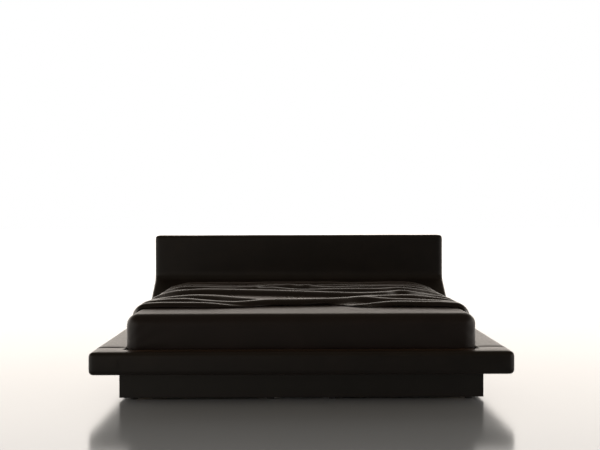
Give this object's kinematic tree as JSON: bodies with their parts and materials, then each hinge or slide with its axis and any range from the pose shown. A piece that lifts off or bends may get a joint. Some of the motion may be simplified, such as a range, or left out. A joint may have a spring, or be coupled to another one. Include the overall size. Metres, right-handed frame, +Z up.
{
  "type": "platform bed",
  "caption": "Low platform bed with a padded leather surround that sweeps up into its headboard, a recessed plinth with side drawers, slats, a mattress and a coverlet.",
  "frame": {"origin": "on the floor, under the middle of the whole bed", "axes": "+X to the right side seen from the foot, +Y from the foot to the headboard, +Z up"},
  "size_m": [2.14, 2.497, 0.8],
  "materials": {
    "leather": "matte, lightly grained",
    "foam": "open cell foam",
    "plywood": "bare",
    "beech": "clear lacquer",
    "lacquer": "satin black lacquer on fibreboard",
    "steel": "zinc plated",
    "black_steel": "powder coated",
    "rubber": "moulded",
    "ticking": "knitted ticking",
    "satin": "sateen"
  },
  "bodies": {
    "frame": {"barrel_nuts": "steel", "centre_beam": "black_steel", "coverlet": "satin", "cross_bearers": "plywood", "fitted_sheet": "satin", "foot_blocks": "plywood", "foot_rail_core": "plywood", "foot_rail_cover": "leather", "foot_rail_foam": "foam", "headboard_back_panel": "plywood", "headboard_cover": "leather", "headboard_cross_rails": "plywood", "headboard_end_ribs": "plywood", "headboard_foam": "foam", "headboard_front_panel": "plywood", "headboard_inner_ribs": "plywood", "headboard_joint_blocks": "plywood", "ledge_angles": "black_steel", "levelling_feet": "black_steel", "mattress": "ticking", "plinth_foot_panel": "lacquer", "plinth_head_panel": "lacquer", "plinth_partition_left": "plywood", "plinth_partition_right": "plywood", "plinth_spine_left": "plywood", "plinth_spine_right": "plywood", "plinth_stretchers": "plywood", "rail_bolts": "steel", "runners_fixed": "steel", "side_rail_core_left": "plywood", "side_rail_core_right": "plywood", "side_rail_cover_left": "leather", "side_rail_cover_right": "leather", "side_rail_foam_left": "foam", "side_rail_foam_right": "foam", "slat_holders_left": "rubber", "slat_holders_right": "rubber", "slats_left": "beech", "slats_right": "beech"},
    "drawer_left_foot": {"drawer_left_foot_front": "lacquer", "drawer_left_foot_box": "plywood", "drawer_left_foot_bottom": "plywood", "drawer_left_foot_runner": "steel"},
    "runner_left_foot": {"runner_left_foot_middle": "steel"},
    "drawer_left_head": {"drawer_left_head_front": "lacquer", "drawer_left_head_box": "plywood", "drawer_left_head_bottom": "plywood", "drawer_left_head_runner": "steel"},
    "runner_left_head": {"runner_left_head_middle": "steel"},
    "drawer_right_foot": {"drawer_right_foot_front": "lacquer", "drawer_right_foot_box": "plywood", "drawer_right_foot_bottom": "plywood", "drawer_right_foot_runner": "steel"},
    "runner_right_foot": {"runner_right_foot_middle": "steel"},
    "drawer_right_head": {"drawer_right_head_front": "lacquer", "drawer_right_head_box": "plywood", "drawer_right_head_bottom": "plywood", "drawer_right_head_runner": "steel"},
    "runner_right_head": {"runner_right_head_middle": "steel"}
  },
  "joints": [
    {"name": "drawer_left_foot_slide", "type": "slide", "parent": "frame", "child": "drawer_left_foot", "axis": [-1, 0, 0], "range_m": [0, 0.58]},
    {"name": "runner_left_foot_slide", "type": "slide", "parent": "frame", "child": "runner_left_foot", "axis": [-1, 0, 0], "range_m": [0, 0.29]},
    {"name": "drawer_left_head_slide", "type": "slide", "parent": "frame", "child": "drawer_left_head", "axis": [-1, 0, 0], "range_m": [0, 0.58]},
    {"name": "runner_left_head_slide", "type": "slide", "parent": "frame", "child": "runner_left_head", "axis": [-1, 0, 0], "range_m": [0, 0.29]},
    {"name": "drawer_right_foot_slide", "type": "slide", "parent": "frame", "child": "drawer_right_foot", "axis": [1, 0, 0], "range_m": [0, 0.58]},
    {"name": "runner_right_foot_slide", "type": "slide", "parent": "frame", "child": "runner_right_foot", "axis": [1, 0, 0], "range_m": [0, 0.29]},
    {"name": "drawer_right_head_slide", "type": "slide", "parent": "frame", "child": "drawer_right_head", "axis": [1, 0, 0], "range_m": [0, 0.58]},
    {"name": "runner_right_head_slide", "type": "slide", "parent": "frame", "child": "runner_right_head", "axis": [1, 0, 0], "range_m": [0, 0.29]}
  ],
  "couplings": [
    {"joint": "runner_left_foot_slide", "follows": "drawer_left_foot_slide", "ratio": 0.5},
    {"joint": "runner_left_head_slide", "follows": "drawer_left_head_slide", "ratio": 0.5},
    {"joint": "runner_right_foot_slide", "follows": "drawer_right_foot_slide", "ratio": 0.5},
    {"joint": "runner_right_head_slide", "follows": "drawer_right_head_slide", "ratio": 0.5}
  ]
}
